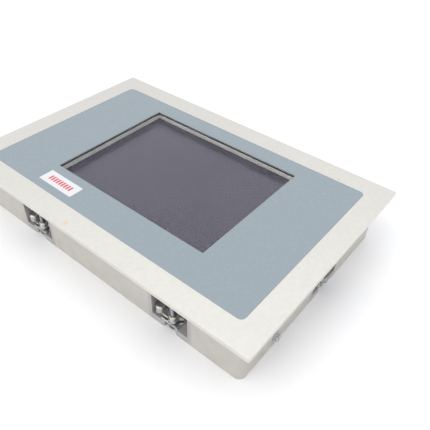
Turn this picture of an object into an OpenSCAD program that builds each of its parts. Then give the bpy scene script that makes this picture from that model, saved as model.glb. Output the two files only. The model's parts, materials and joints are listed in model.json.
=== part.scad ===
// Operator touch panel for a control cabinet: an aluminium front plate with a
// touch display, a shallow housing behind it and six swing-out clamps.
// The panel lies on its back. +Z points out of the front, +X along the long
// side and +Y towards the top edge. The origin is below the centre of the
// front plate, on the plane of the rear face.

/* [Front plate] */
// Width of the front plate
plate_w = 226.5; // [210:0.5:320]
// Height of the front plate
plate_d = 150; // [142:0.5:220]
// Thickness of the front plate
plate_t = 2.5; // [2.2:0.1:4]
// Corner radius of the front plate
plate_r = 1; // [0.5:0.1:6]
// Depth from the front face to the rear face
total_depth = 34.6; // [33:0.1:60]
// How far the front plate stands out past the housing
rim = 7; // [6.5:0.1:12]
// Bare metal left around the coloured laminate
laminate_margin = 14; // [8:0.5:20]
// Corner radius of the laminate
laminate_r = 3; // [1:0.5:8]
// Thickness of the laminate
laminate_t = 0.4; // [0.2:0.05:0.6]

/* [Window and display] */
// Width of the window
window_w = 116.5; // [80:0.5:130]
// Height of the window
window_d = 88.5; // [60:0.5:96]
// How far the window is above the middle of the plate
window_up = 4.35; // [0:0.05:5]
// Thickness of the metal lip around the window
window_lip = 0.6; // [0.4:0.1:1.2]
// Thickness of the touch sensor glass
touch_t = 1.8; // [1.1:0.1:3]
// How far the touch glass runs under the lip on each side, where the clamps leave room
touch_margin = 7.65; // [5:0.05:8]
// Thickness of the tape between the lip and the touch glass
tape_t = 0.2; // [0.1:0.05:0.4]
// Height of the frame between the touch glass and the display
bezel_t = 3.1; // [1:0.1:5]
// Thickness of the display cell
cell_t = 2.2; // [1.2:0.1:3]
// Thickness of the backlight behind the cell
backlight_t = 6.9; // [4:0.1:9]

/* [Seal] */
// Thickness of the seal behind the rim
seal_t = 1; // [0.5:0.1:2]
// Width of the seal
seal_w = 3.4; // [2.5:0.1:4]
// Distance from the housing to the seal
seal_gap = 2.1; // [1:0.1:2.5]

/* [Housing] */
// Thickness of the side walls
wall = 2; // [1.5:0.1:3]
// Outer corner radius of the housing
housing_r = 4; // [3:0.5:8]
// Thickness of the flange behind the front plate
flange_t = 1.5; // [1:0.1:2]
// Thickness of the rear cover
cover_t = 1.5; // [1.4:0.1:2]
// Thickness of the ledge that the rear cover is screwed to
ledge_t = 1.5; // [1.2:0.1:2.5]
// Width of the ledge
ledge_w = 6; // [5.8:0.1:8]

/* [Clamps] */
// Place of the left clamp along the lower side, from the middle
clamp_left = -49; // [-60:0.5:-30]
// Place of the right clamp along the lower side, from the middle
clamp_right = 60; // [30:0.5:65]
// Place of the side clamp, from the middle
clamp_side = 9.75; // [-15:0.25:15]
// Clear width of a clamp pocket
pocket_w = 24.6; // [22:0.1:30]
// Depth of a clamp pocket behind the wall face
pocket_depth = 9; // [8.6:0.1:12]
// Thickness of the pocket's floor
floor_t = 4.5; // [4:0.1:6]
// Thickness of the pocket's side walls
pocket_wall = 1.9; // [1:0.1:2.5]
// Thickness of the pocket's back wall
pocket_back = 1.5; // [1:0.1:2]
// Width of the notch in the pocket's floor
notch_w = 7.5; // [6.4:0.1:9]
// Distance from the wall face to the clamp screw's axis
screw_inset = 3.3; // [3.2:0.1:4]
// Radius of the clamp screw
screw_r = 1.5; // [1.5:0.05:1.7]
// Radius of the clamp screw's head
screw_head_r = 2.75; // [2.5:0.05:3]
// Travel of the clamp along its screw
clamp_travel = 19; // [10:0.5:19]
// Distance from the screw's axis to the lever's tip
lever_reach = 9.3; // [8:0.1:9.5]
// Width of the lever's arm
lever_w = 3.6; // [3:0.1:3.8]
// Thickness of the lever's arm
lever_t = 1.6; // [1:0.1:2]
// Radius of the lever's tip
tip_r = 2.6; // [2:0.1:2.7]

/* [Rear side] */
// Height of the space between the rear cover's inside and the main board
board_room = 11.5; // [10:0.1:20]
// Length of the vent slots
vent_len = 26; // [12:1:30]
// Width of the vent slots
vent_w = 2.4; // [1.5:0.1:3]

/* [Fits] */
// Radial running clearance of the clamp screws, nuts and levers
running_gap = 0.06; // [0.02:0.01:0.1]
// Radial clearance of screws in tapped holes and pins in pressed holes
seat_gap = 0.04; // [0.02:0.01:0.1]
// Radial clearance of screws and studs in plain holes
clear_gap = 0.2; // [0.1:0.05:0.4]
// Gap around parts let into each other
inset_gap = 0.1; // [0.05:0.05:0.3]

/* [Hidden] */
$fn = 64;
eps = 0.5;

// Housing and cover
housing_w = plate_w - 2 * rim;
housing_d = plate_d - 2 * rim;
housing_h = total_depth - plate_t;
half_w = housing_w / 2;
half_d = housing_d / 2;
box_depth = pocket_depth + pocket_back;
flange_in = box_depth + 0.5;
cover_strip = 0.9;
cover_in = box_depth + inset_gap + cover_strip;
cover_w = housing_w - 2 * (cover_in + inset_gap);
cover_d = housing_d - 2 * (cover_in + inset_gap);
ledge_top = cover_t + ledge_t;
m3_r = 1.5;
m3_head_r = 2.75;
m3_head_h = 2.4;
m3_nut_r = 3.05;
csk_h = 1.25;
stud_inset = 6;
stud_from_side = 21;
stud_from_end = 25;
middle_stud_x = 5;
stud_len = 6.6;
stud_nut_h = 2.4;
cover_screw_in = cover_in + inset_gap + ledge_w / 2;
cover_corner_in = 4;
cover_screw_len = 4.2;

// Layers behind the window, from the front down
laminate_z = total_depth - laminate_t;
lip_z = laminate_z - window_lip;
touch_top = lip_z - tape_t;
touch_z = touch_top - touch_t;
bezel_z = touch_z - bezel_t;
cell_z = bezel_z - cell_t;
backlight_z = cell_z - backlight_t;
room_above = half_d - flange_in - window_up - window_d / 2;
glass_gap = 0.75;
glass_margin = min(touch_margin, room_above - glass_gap);
touch_w = window_w + 2 * glass_margin;
touch_d = window_d + 2 * glass_margin;
glass_recess_gap = 0.2;
bezel_inset = 0.4;
bezel_open = 0.5;
tape_set_back = 0.4;
cell_inset = 1.9;
cell_driver_strip = 3;
backlight_inset = 0.9;
backlight_ends = 5;
backlight_w = touch_w + 2 * (backlight_ends - backlight_inset);
backlight_d = touch_d - 2 * backlight_inset;

// Chassis plate, main board and what they carry
chassis_t = 1.5;
chassis_z = backlight_z - chassis_t;
chassis_end_gap = 2.75;
chassis_side_gap = 2.5;
chassis_w = housing_w - 2 * (box_depth + chassis_end_gap);
chassis_d = housing_d - 2 * (box_depth + chassis_side_gap);
hole_inset = 5;
post_r = 3;
post_x = chassis_w / 2 - hole_inset;
post_y = chassis_d / 2 - hole_inset;
post_screw_len = 6;
board_t = 1.6;
board_z = cover_t + board_room;
board_w = 150;
board_d = 95;
board_y = -2.5;
board_hole_x = board_w / 2 - hole_inset;
board_hole_y = board_d / 2 - hole_inset;
spacer_r = 2.8;
socket_face = 0.6;
socket_y = -38;
power_x = -58;
ethernet_x = [-30, -9];
usb_x = [14, 30];
power_size = [16.2, 8.6];
ethernet_size = [16, 13.6];
usb_size = [13.2, 6];
socket_skin = 0.4;
power_skin = 0.8;
ethernet_skin = 1.8;
socket_back = 1.5;
pin_r = 0.5;
pin_pitch = 5.08;
pin_free = 4.6;
cpu_at = [30, 8];
cpu_size = 27;
cpu_t = 2.4;
heat_size = 42;
memory_at = [-32, 14];
capacitor_at = [62, -30];
capacitor_r = 4;
capacitor_h = 8;
capacitor_step = 11;
cell_at = [-60, -16];
coin_r = 10;
coin_t = 3.2;
holder_r = 11;
holder_t = 1.5;
side_board = [15, 1.6];
side_board_x = (backlight_w + chassis_w) / 4 - 0.5;
side_board_lift = 2;
display_cable_at = [40, 36];
vent_x = 62;
vent_y = 10;
vent_step = 5;
rating_size = [62, 30];
rating_t = 0.15;
rating_y = half_d - cover_screw_in - m3_head_r - 1.65 - rating_size[1] / 2;
label_at = [-42.75, -50.8];
label_size = [28.5, 9.9];
label_t = 0.12;

// Clamps, one entry each: place of the pocket's middle on the wall face, and turn
CLAMPS = [
    [clamp_left, -half_d, 0], [clamp_right, -half_d, 0], [half_w, clamp_side, 90],
    [-clamp_left, half_d, 180], [-clamp_right, half_d, 180], [-half_w, -clamp_side, 270]
];
box_w = pocket_w + 2 * pocket_wall;
box_h = housing_h - flange_t - inset_gap;
bridge_t = 1;
bridge_z = box_h - bridge_t;
bridge_left = -6.2;
mouth_r = 1.2;
thrust_t = 0.8;
thrust_top = floor_t + thrust_t;
head_h = 2.8;
head_z = floor_t - inset_gap - head_h;
recess_w = 0.8;
recess_h = 1.3;
collar_r = 2.6;
collar_z = thrust_top + 0.05;
collar_t = 0.4;
screw_top = box_h - inset_gap;
nut_z = collar_z + collar_t + inset_gap;
nut_flange_t = 0.5;
nut_flange_r = 2.9;
hub_z = nut_z + nut_flange_t + 0.05;
hub_r = 3.1;
bearing_r = 2.1;
nut_top_r = 2.45;
nut_top = bridge_z - 0.2 - clamp_travel;
tip_top = box_h - 0.7 - clamp_travel;
tip_chamfer = 0.7;
stop_r = 0.8;
stop_from_axis = 5;
stop_y = lever_w / 2 + stop_r + 0.05;
stop_x = -sqrt(pow(stop_from_axis, 2) - pow(stop_y, 2));
stop_angle = atan2(stop_y, stop_x);
heel_w = 1.6;
heel_angle = stop_angle - asin((heel_w / 2 + stop_r + 0.05) / stop_from_axis) - 90;
heel_out = 5.4;

// Earth screw on the right-hand wall
earth_y = -39;
earth_z = 6;
earth_r = 1.5;
earth_head_r = 2.3;
earth_head_h = 1.5;
earth_washer_t = 0.6;

// ---------- shared shapes ----------

// A block with round upright corners, centred on the Z axis
module slab(w, d, h, r) {
    union() {
        translate([-w / 2 + r, -d / 2, 0]) cube([w - 2 * r, d, h]);
        translate([-w / 2, -d / 2 + r, 0]) cube([w, d - 2 * r, h]);
        for (x = [-1, 1], y = [-1, 1])
            translate([x * (w / 2 - r), y * (d / 2 - r), 0]) cylinder(r = r, h = h);
    }
}

// A plain block, centred on the Z axis
module block(w, d, h) {
    translate([-w / 2, -d / 2, 0]) cube([w, d, h]);
}

// Puts its children at every clamp, or at one of them
module at_clamps(list = CLAMPS) {
    for (c = list) translate([c[0], c[1], 0]) rotate([0, 0, c[2]]) children();
}

// Puts its children on a clamp's screw axis
module on_screw_axis() {
    translate([0, screw_inset, 0]) children();
}

// Puts its children at each stud behind the front plate
module at_studs() {
    long_x = half_w - stud_from_side;
    short_y = half_d - stud_from_end;
    edge_x = half_w - stud_inset;
    edge_y = half_d - stud_inset;
    for (s = [-1, 1], x = [-long_x, middle_stud_x, long_x])
        translate([-s * x, s * edge_y, 0]) children();
    for (s = [-1, 1], y = [-short_y, short_y])
        translate([s * edge_x, y, 0]) children();
}

// Puts its children at each screw of the rear cover
module at_cover_screws() {
    x = half_w - cover_screw_in;
    y = half_d - cover_screw_in;
    for (s = [-1, 1]) {
        translate([s * x, 0, 0]) children();
        for (k = [-1, 0, 1]) translate([k * (x - cover_corner_in), s * y, 0]) children();
    }
}

// Puts its children at the four corners of a rectangle
module at_corners(x, y) {
    for (sx = [-1, 1], sy = [-1, 1]) translate([sx * x, sy * y, 0]) children();
}

// A pan-head screw pointing up, with its head's underside at z = 0
module pan_screw(r, head_r, head_h, len) {
    difference() {
        union() {
            translate([0, 0, -head_h]) cylinder(r = head_r, h = head_h);
            cylinder(r = r, h = len);
        }
        for (a = [0, 90]) rotate([0, 0, a])
            translate([-head_r * 0.6, -0.4, -head_h - eps])
                cube([head_r * 1.2, 0.8, eps + head_h * 0.5]);
    }
}

// A round spacer with a hole through it
module spacer(r, hole_r, h) {
    difference() {
        cylinder(r = r, h = h);
        translate([0, 0, -eps]) cylinder(r = hole_r, h = h + 2 * eps);
    }
}

// A socket shell standing on the main board, open towards the rear
module socket_shell(size, skin) {
    h = board_z - socket_face;
    difference() {
        block(size[0], size[1], h);
        translate([0, 0, -eps])
            block(size[0] - 2 * skin, size[1] - 2 * skin, h - socket_back + eps);
    }
}

// ---------- front ----------

module front_plate() {
    color("whitesmoke") difference() {
        translate([0, 0, housing_h]) slab(plate_w, plate_d, plate_t, plate_r);
        translate([0, 0, laminate_z])
            slab(plate_w - 2 * laminate_margin + 2 * inset_gap,
                 plate_d - 2 * laminate_margin + 2 * inset_gap, plate_t, laminate_r + inset_gap);
        translate([0, window_up, housing_h - eps]) block(window_w, window_d, plate_t + 2 * eps);
        translate([0, window_up, housing_h - eps])
            block(touch_w + 2 * glass_recess_gap, touch_d + 2 * glass_recess_gap,
                  lip_z - housing_h + eps);
    }
}

module front_laminate() {
    color("lightslategray") difference() {
        translate([0, 0, laminate_z])
            slab(plate_w - 2 * laminate_margin, plate_d - 2 * laminate_margin,
                 laminate_t, laminate_r);
        translate([0, window_up, laminate_z - eps]) block(window_w, window_d, laminate_t + 2 * eps);
    }
}

module label_plate() {
    color("white") translate([label_at[0], label_at[1], total_depth])
        block(label_size[0], label_size[1], label_t);
}

module touch_tape() {
    color("dimgray") translate([0, window_up, touch_top]) difference() {
        block(touch_w, touch_d, tape_t);
        translate([0, 0, -eps])
            block(window_w + 2 * tape_set_back, window_d + 2 * tape_set_back, tape_t + 2 * eps);
    }
}

module touch_glass() {
    color("lightcyan", 0.4) translate([0, window_up, touch_z]) block(touch_w, touch_d, touch_t);
}

module display_bezel() {
    color("silver") translate([0, window_up, bezel_z]) difference() {
        block(touch_w - 2 * bezel_inset, touch_d - 2 * bezel_inset, bezel_t);
        translate([0, 0, -eps])
            block(window_w + 2 * bezel_open, window_d + 2 * bezel_open, bezel_t + 2 * eps);
    }
}

module display_cell() {
    color("darkslategray") translate([0, window_up, cell_z])
        block(touch_w + 2 * (cell_driver_strip - cell_inset), touch_d - 2 * cell_inset, cell_t);
}

module backlight() {
    color("gainsboro") translate([0, window_up, backlight_z])
        slab(backlight_w, backlight_d, backlight_t, 1);
}

module front_seal() {
    inner_w = housing_w + 2 * seal_gap;
    inner_d = housing_d + 2 * seal_gap;
    color("dimgray") translate([0, 0, housing_h - seal_t]) difference() {
        slab(inner_w + 2 * seal_w, inner_d + 2 * seal_w, seal_t, housing_r);
        translate([0, 0, -eps]) slab(inner_w, inner_d, seal_t + 2 * eps, housing_r);
    }
}

module plate_studs() {
    color("silver") at_studs() translate([0, 0, housing_h - stud_len])
        cylinder(r = m3_r, h = stud_len);
}

module stud_nuts() {
    color("silver") at_studs() translate([0, 0, housing_h - flange_t - stud_nut_h])
        difference() {
            cylinder(r = m3_nut_r, h = stud_nut_h, $fn = 6);
            translate([0, 0, -eps]) cylinder(r = m3_r + seat_gap, h = stud_nut_h + 2 * eps);
        }
}

// ---------- housing ----------

module housing() {
    color("lightgray") difference() {
        union() {
            difference() {
                slab(housing_w, housing_d, housing_h, housing_r);
                translate([0, 0, ledge_top])
                    slab(housing_w - 2 * wall, housing_d - 2 * wall,
                         housing_h - flange_t - ledge_top, housing_r - wall);
                translate([0, 0, -eps])
                    slab(housing_w - 2 * flange_in, housing_d - 2 * flange_in,
                         housing_h + 2 * eps, housing_r);
            }
            difference() {
                translate([0, 0, cover_t])
                    slab(housing_w - 2 * wall, housing_d - 2 * wall, ledge_t, housing_r - wall);
                translate([0, 0, cover_t - eps])
                    slab(cover_w - 2 * ledge_w, cover_d - 2 * ledge_w, ledge_t + 2 * eps,
                         housing_r);
            }
        }
        // seat of the rear cover
        translate([0, 0, -eps])
            slab(cover_w + 2 * inset_gap, cover_d + 2 * inset_gap, cover_t + eps, housing_r);
        // openings for the clamp boxes
        at_clamps() translate([-box_w / 2 - inset_gap, -eps, -eps])
            cube([box_w + 2 * inset_gap, box_depth + inset_gap + eps,
                  housing_h - flange_t + eps]);
        at_studs() translate([0, 0, housing_h - flange_t - eps])
            cylinder(r = m3_r + clear_gap, h = flange_t + 2 * eps);
        at_cover_screws() cylinder(r = m3_r + seat_gap, h = ledge_top + eps);
        translate([half_w - wall - eps, earth_y, earth_z]) rotate([0, 90, 0])
            cylinder(r = earth_r + seat_gap, h = wall + 2 * eps);
    }
}

module clamp_boxes() {
    color("lightgray") at_clamps() difference() {
        union() {
            difference() {
                translate([-box_w / 2, 0, 0]) cube([box_w, box_depth, box_h]);
                translate([-pocket_w / 2, -eps, floor_t])
                    cube([pocket_w, pocket_depth + eps, box_h]);
            }
            translate([bridge_left, 0, bridge_z])
                cube([pocket_w / 2 - bridge_left + eps, pocket_depth + eps, bridge_t]);
        }
        // notch in the floor, round at its end and at its mouth
        on_screw_axis() translate([0, 0, -eps]) cylinder(r = notch_w / 2, h = floor_t + 2 * eps);
        translate([-notch_w / 2, -eps, -eps])
            cube([notch_w, screw_inset + eps, floor_t + 2 * eps]);
        difference() {
            translate([-notch_w / 2 - mouth_r, -eps, -eps])
                cube([notch_w + 2 * mouth_r, mouth_r + eps, floor_t + 2 * eps]);
            for (s = [-1, 1]) translate([s * (notch_w / 2 + mouth_r), mouth_r, -2 * eps])
                cylinder(r = mouth_r, h = floor_t + 4 * eps);
        }
        on_screw_axis() translate([0, 0, bridge_z - eps])
            cylinder(r = screw_r + running_gap, h = bridge_t + 2 * eps);
        on_screw_axis() translate([stop_x, stop_y, floor_t / 2])
            cylinder(r = stop_r + seat_gap, h = box_h);
    }
}

module thrust_washers() {
    color("gainsboro") at_clamps() on_screw_axis() translate([0, 0, floor_t]) difference() {
        translate([-6, 0.3 - screw_inset, 0]) cube([11.4, 7, thrust_t]);
        translate([0, 0, -eps]) cylinder(r = screw_r + running_gap, h = thrust_t + 2 * eps);
        translate([stop_x, stop_y, -eps]) cylinder(r = stop_r + seat_gap, h = thrust_t + 2 * eps);
    }
}

module stop_pins() {
    color("silver") at_clamps() on_screw_axis()
        translate([stop_x, stop_y, floor_t / 2]) cylinder(r = stop_r, h = box_h - floor_t / 2);
}

// ---------- clamps ----------

module clamp_screw(c) {
    color("silver") at_clamps([c]) on_screw_axis() difference() {
        union() {
            translate([0, 0, head_z]) cylinder(r = screw_head_r, h = head_h);
            translate([0, 0, head_z]) cylinder(r = screw_r, h = screw_top - head_z);
            translate([0, 0, collar_z]) cylinder(r = collar_r, h = collar_t);
        }
        for (a = [45, 135]) rotate([0, 0, a])
            translate([-screw_head_r * 0.65, -recess_w / 2, head_z - eps])
                cube([screw_head_r * 1.3, recess_w, recess_h + eps]);
    }
}

module clamp_nut(c) {
    hub_top = hub_z + lever_t;
    color("gold") at_clamps([c]) on_screw_axis() difference() {
        union() {
            translate([0, 0, nut_z]) cylinder(r = nut_flange_r, h = nut_flange_t);
            translate([0, 0, nut_z]) cylinder(r = bearing_r, h = nut_top - nut_z);
            translate([0, 0, hub_top + 0.05])
                cylinder(r = nut_top_r, h = nut_top - hub_top - 0.05);
        }
        translate([0, 0, nut_z - eps])
            cylinder(r = screw_r + running_gap, h = nut_top - nut_z + 2 * eps);
    }
}

module clamp_lever(c) {
    color("silver") at_clamps([c]) on_screw_axis() translate([0, 0, hub_z]) difference() {
        union() {
            cylinder(r = hub_r, h = lever_t);
            translate([-lever_reach, -lever_w / 2, 0]) cube([lever_reach, lever_w, lever_t]);
            translate([-lever_reach, 0, 0]) cylinder(r = tip_r, h = tip_top - tip_chamfer - hub_z);
            translate([-lever_reach, 0, tip_top - tip_chamfer - hub_z])
                cylinder(r1 = tip_r, r2 = tip_r - tip_chamfer, h = tip_chamfer);
            rotate([0, 0, heel_angle]) translate([0, -heel_w / 2, 0])
                cube([heel_out, heel_w, lever_t]);
        }
        translate([0, 0, -eps]) cylinder(r = bearing_r + running_gap, h = lever_t + 2 * eps);
    }
}

// ---------- inside ----------

module chassis_posts() {
    color("gainsboro") at_corners(post_x, post_y) translate([0, 0, backlight_z]) difference() {
        cylinder(r = post_r, h = housing_h - backlight_z);
        translate([0, 0, -eps]) cylinder(r = m3_r + seat_gap, h = post_screw_len + eps);
    }
}

module chassis_plate() {
    color("silver") translate([0, 0, chassis_z]) difference() {
        slab(chassis_w, chassis_d, chassis_t, 2);
        at_corners(post_x, post_y) translate([0, 0, -eps])
            cylinder(r = m3_r + clear_gap, h = chassis_t + 2 * eps);
        translate([0, board_y, 0]) at_corners(board_hole_x, board_hole_y)
            translate([0, 0, -eps]) cylinder(r = m3_r + seat_gap, h = chassis_t + 2 * eps);
        translate([display_cable_at[0], display_cable_at[1], -eps])
            block(36, 4, chassis_t + 2 * eps);
    }
}

module chassis_screws() {
    color("silver") at_corners(post_x, post_y) translate([0, 0, chassis_z])
        pan_screw(m3_r, m3_head_r, m3_head_h, chassis_t + post_screw_len - 1);
}

module board_spacers() {
    z = board_z + board_t;
    color("silver") translate([0, board_y, z]) at_corners(board_hole_x, board_hole_y)
        spacer(spacer_r, m3_r + clear_gap, chassis_z - z);
}

module main_board() {
    color("darkgreen") translate([0, board_y, board_z]) difference() {
        block(board_w, board_d, board_t);
        at_corners(board_hole_x, board_hole_y) translate([0, 0, -eps])
            cylinder(r = m3_r + clear_gap, h = board_t + 2 * eps);
    }
}

module board_screws() {
    color("silver") translate([0, board_y, board_z]) at_corners(board_hole_x, board_hole_y)
        pan_screw(m3_r, m3_head_r, 2, chassis_z + chassis_t - board_z - 0.1);
}

module processor() {
    color("darkslategray") translate([cpu_at[0], cpu_at[1], board_z - cpu_t])
        block(cpu_size, cpu_size, cpu_t);
}

module heat_block() {
    fin = 2;
    color("silver") translate([cpu_at[0], cpu_at[1], cover_t]) difference() {
        block(heat_size, heat_size, board_room - cpu_t);
        for (k = [-2 : 2]) translate([k * 7.5, 0, 2.5])
            for (s = [-1, 1]) translate([0, s * (heat_size / 2), 0]) block(fin * 2, 22, 4);
    }
}

module memory_module() {
    color("seagreen") translate([memory_at[0], memory_at[1], board_z - 5]) union() {
        block(67.6, 30, 1);
        translate([0, -15.5, 0]) block(70, 5, 5);
        for (k = [-1.5 : 1.5]) translate([k * 15, 4, -1]) block(11, 14, 1.2);
    }
}

module capacitors() {
    color("dimgray") for (k = [0 : 3])
        translate([capacitor_at[0], capacitor_at[1] + capacitor_step * k, board_z - capacitor_h])
            cylinder(r = capacitor_r, h = capacitor_h);
}

module coin_cell() {
    color("silver") translate([cell_at[0], cell_at[1], board_z - holder_t - coin_t])
        cylinder(r = coin_r, h = coin_t);
}

module cell_holder() {
    color("dimgray") translate([cell_at[0], cell_at[1], board_z - holder_t])
        cylinder(r = holder_r, h = holder_t);
}

// A narrow board on four feet beside the backlight, with its children on top
module side_board_unit(x, len) {
    sink = 0.2;
    translate([x, 0, chassis_z + chassis_t]) union() {
        translate([0, 0, side_board_lift]) block(side_board[0], len, side_board[1]);
        at_corners(hole_inset, len / 2 - 4) cylinder(r = 1.8, h = side_board_lift + sink);
        translate([0, 0, side_board_lift + side_board[1] - sink]) children();
    }
}

module inverter_board() {
    color("darkgreen") side_board_unit(-side_board_x, 78) {
        translate([0, 18, 0]) block(12, 16, 6);
        translate([0, -26, 0]) block(8, 12, 4);
    }
}

module touch_controller() {
    color("darkgreen") side_board_unit(side_board_x, 46) translate([0, 6, 0]) block(9, 9, 1.4);
}

module touch_cable() {
    x0 = touch_w / 2;
    x1 = side_board_x + 0.5;
    z0 = chassis_z + chassis_t + side_board_lift + side_board[1];
    z1 = touch_z + 0.1;
    cable_t = 0.25;
    cable_w = 10;
    color("peru") translate([0, -12 - cable_w / 2, 0]) union() {
        translate([x0, 0, z1]) cube([x1 - x0, cable_w, cable_t]);
        translate([x1 - cable_t, 0, z0]) cube([cable_t, cable_w, z1 + cable_t - z0]);
    }
}

module display_cable() {
    z = board_z + board_t;
    color("slategray") translate([display_cable_at[0], display_cable_at[1], z])
        block(32, 1.2, backlight_z - z);
}

module power_socket() {
    color("darkgreen") translate([power_x, socket_y, socket_face])
        socket_shell(power_size, power_skin);
}

module power_pins() {
    top = board_z - socket_back;
    color("silver") for (k = [-1, 0, 1])
        translate([power_x + k * pin_pitch, socket_y, socket_face + pin_free])
            cylinder(r = pin_r, h = top - socket_face - pin_free);
}

module ethernet_sockets() {
    color("silver") for (x = ethernet_x) translate([x, socket_y, socket_face])
        socket_shell(ethernet_size, ethernet_skin);
}

module usb_sockets() {
    color("silver") for (x = usb_x) translate([x, socket_y, socket_face])
        socket_shell(usb_size, socket_skin);
}

// ---------- rear ----------

// The holes in the rear cover for one kind of socket
module socket_holes(list, size) {
    for (x = list) translate([x, socket_y, -eps])
        block(size[0] + 4 * inset_gap, size[1] + 4 * inset_gap, cover_t + 2 * eps);
}

module rear_cover() {
    color("lightgray") difference() {
        slab(cover_w, cover_d, cover_t, housing_r - inset_gap);
        socket_holes([power_x], power_size);
        socket_holes(ethernet_x, ethernet_size);
        socket_holes(usb_x, usb_size);
        for (x = [-1, 1], k = [-3 : 3])
            translate([x * vent_x, vent_y + k * vent_step, -eps])
                block(vent_len, vent_w, cover_t + 2 * eps);
        translate([0, rating_y, -eps])
            block(rating_size[0], rating_size[1], eps + rating_t + 0.05);
        at_cover_screws() {
            translate([0, 0, -eps]) cylinder(r = m3_r + clear_gap, h = cover_t + 2 * eps);
            translate([0, 0, -0.01])
                cylinder(r1 = m3_head_r + 0.1, r2 = m3_r + clear_gap, h = csk_h + 0.06);
        }
    }
}

module cover_screws() {
    color("silver") at_cover_screws() difference() {
        union() {
            translate([0, 0, 0.05]) cylinder(r1 = m3_head_r, r2 = m3_r, h = csk_h - 0.05);
            translate([0, 0, csk_h]) cylinder(r = m3_r, h = cover_screw_len - csk_h);
        }
        for (a = [0, 90]) rotate([0, 0, a])
            translate([-1.6, -0.35, -eps]) cube([3.2, 0.7, eps + 0.8]);
    }
}

module rating_plate() {
    color("gainsboro") translate([0, rating_y, 0.05])
        block(rating_size[0] - 2 * clear_gap, rating_size[1] - 2 * clear_gap, rating_t);
}

module earth_screw() {
    x = half_w + earth_washer_t;
    color("silver") translate([x, earth_y, earth_z]) rotate([0, -90, 0])
        pan_screw(earth_r, earth_head_r, earth_head_h, wall + earth_washer_t + 2);
}

module earth_washer() {
    color("gainsboro") translate([half_w, earth_y, earth_z]) rotate([0, 90, 0])
        spacer(earth_head_r + 0.5, earth_r + clear_gap, earth_washer_t);
}

front_plate();
front_laminate();
label_plate();
touch_tape();
touch_glass();
display_bezel();
display_cell();
backlight();
front_seal();
plate_studs();
stud_nuts();
housing();
clamp_boxes();
thrust_washers();
stop_pins();
clamp_screw(CLAMPS[0]);  // clamp_screw_1
clamp_screw(CLAMPS[1]);  // clamp_screw_2
clamp_screw(CLAMPS[2]);  // clamp_screw_3
clamp_screw(CLAMPS[3]);  // clamp_screw_4
clamp_screw(CLAMPS[4]);  // clamp_screw_5
clamp_screw(CLAMPS[5]);  // clamp_screw_6
clamp_nut(CLAMPS[0]);  // clamp_nut_1
clamp_nut(CLAMPS[1]);  // clamp_nut_2
clamp_nut(CLAMPS[2]);  // clamp_nut_3
clamp_nut(CLAMPS[3]);  // clamp_nut_4
clamp_nut(CLAMPS[4]);  // clamp_nut_5
clamp_nut(CLAMPS[5]);  // clamp_nut_6
clamp_lever(CLAMPS[0]);  // clamp_lever_1
clamp_lever(CLAMPS[1]);  // clamp_lever_2
clamp_lever(CLAMPS[2]);  // clamp_lever_3
clamp_lever(CLAMPS[3]);  // clamp_lever_4
clamp_lever(CLAMPS[4]);  // clamp_lever_5
clamp_lever(CLAMPS[5]);  // clamp_lever_6
chassis_posts();
chassis_plate();
chassis_screws();
board_spacers();
main_board();
board_screws();
processor();
heat_block();
memory_module();
capacitors();
coin_cell();
cell_holder();
inverter_board();
touch_controller();
touch_cable();
display_cable();
power_socket();
power_pins();
ethernet_sockets();
usb_sockets();
rear_cover();
cover_screws();
rating_plate();
earth_screw();
earth_washer();
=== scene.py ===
# %% [markdown]
# # An operator touch panel, from its CAD frame to a finished picture
# The object is the flat panel that sits in the door of a control cabinet: a
# blasted metal front plate with a grey film, a touch display sunk behind a window,
# a shallow painted housing, and six clamps that swing out behind the door. The CAD
# model already holds every size and every joint. This file only gives it looks:
# softer edges, threads, contacts and printed marks as real geometry, and a
# procedural finish for every surface. Nothing here moves or resizes a CAD part.

# %% Load the frame
import json
import math
import bmesh
import bpy
from mathutils import Matrix, Vector


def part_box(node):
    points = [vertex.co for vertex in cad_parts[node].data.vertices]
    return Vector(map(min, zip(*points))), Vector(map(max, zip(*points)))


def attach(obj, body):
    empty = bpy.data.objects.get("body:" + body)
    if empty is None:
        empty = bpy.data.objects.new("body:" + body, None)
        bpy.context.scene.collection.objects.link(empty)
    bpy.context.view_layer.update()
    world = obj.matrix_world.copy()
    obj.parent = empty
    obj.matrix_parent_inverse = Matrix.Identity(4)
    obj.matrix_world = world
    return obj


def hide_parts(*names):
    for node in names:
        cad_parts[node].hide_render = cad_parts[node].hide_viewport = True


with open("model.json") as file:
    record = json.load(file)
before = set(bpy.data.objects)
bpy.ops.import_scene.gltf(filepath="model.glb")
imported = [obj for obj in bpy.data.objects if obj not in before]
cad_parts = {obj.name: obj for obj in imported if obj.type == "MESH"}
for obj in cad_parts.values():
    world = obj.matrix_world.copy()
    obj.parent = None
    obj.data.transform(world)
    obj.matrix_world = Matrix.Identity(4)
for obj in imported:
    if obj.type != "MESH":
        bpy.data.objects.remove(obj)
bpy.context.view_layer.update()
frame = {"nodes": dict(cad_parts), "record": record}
NODES = frame["nodes"]
RECORD = frame["record"]
SLOT_OF = {row["node"]: row["material_slot"] for row in RECORD["subparts"]}
BODY_OF = {node: body for body, nodes in RECORD["behaviour"]["bodies"].items() for node in nodes}
MM = 0.001

# %% [markdown]
# ## Where the camera stands
# A product picture of a flat thing works best from above one corner, because the
# front, the long side and the short side all show. The camera is set first, so
# that every later step can be judged through it. It is placed by where it stands
# and what it looks at, and then rolled a little about its own axis.

# %% Camera
CAMERA_AT = Vector((170.65, -176.72, 215.53)) * MM
LOOK_AT = Vector((44.2, -12.8, 34.6)) * MM
CAMERA_ROLL = math.radians(2.32)
LENS_MM = 41.27


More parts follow.
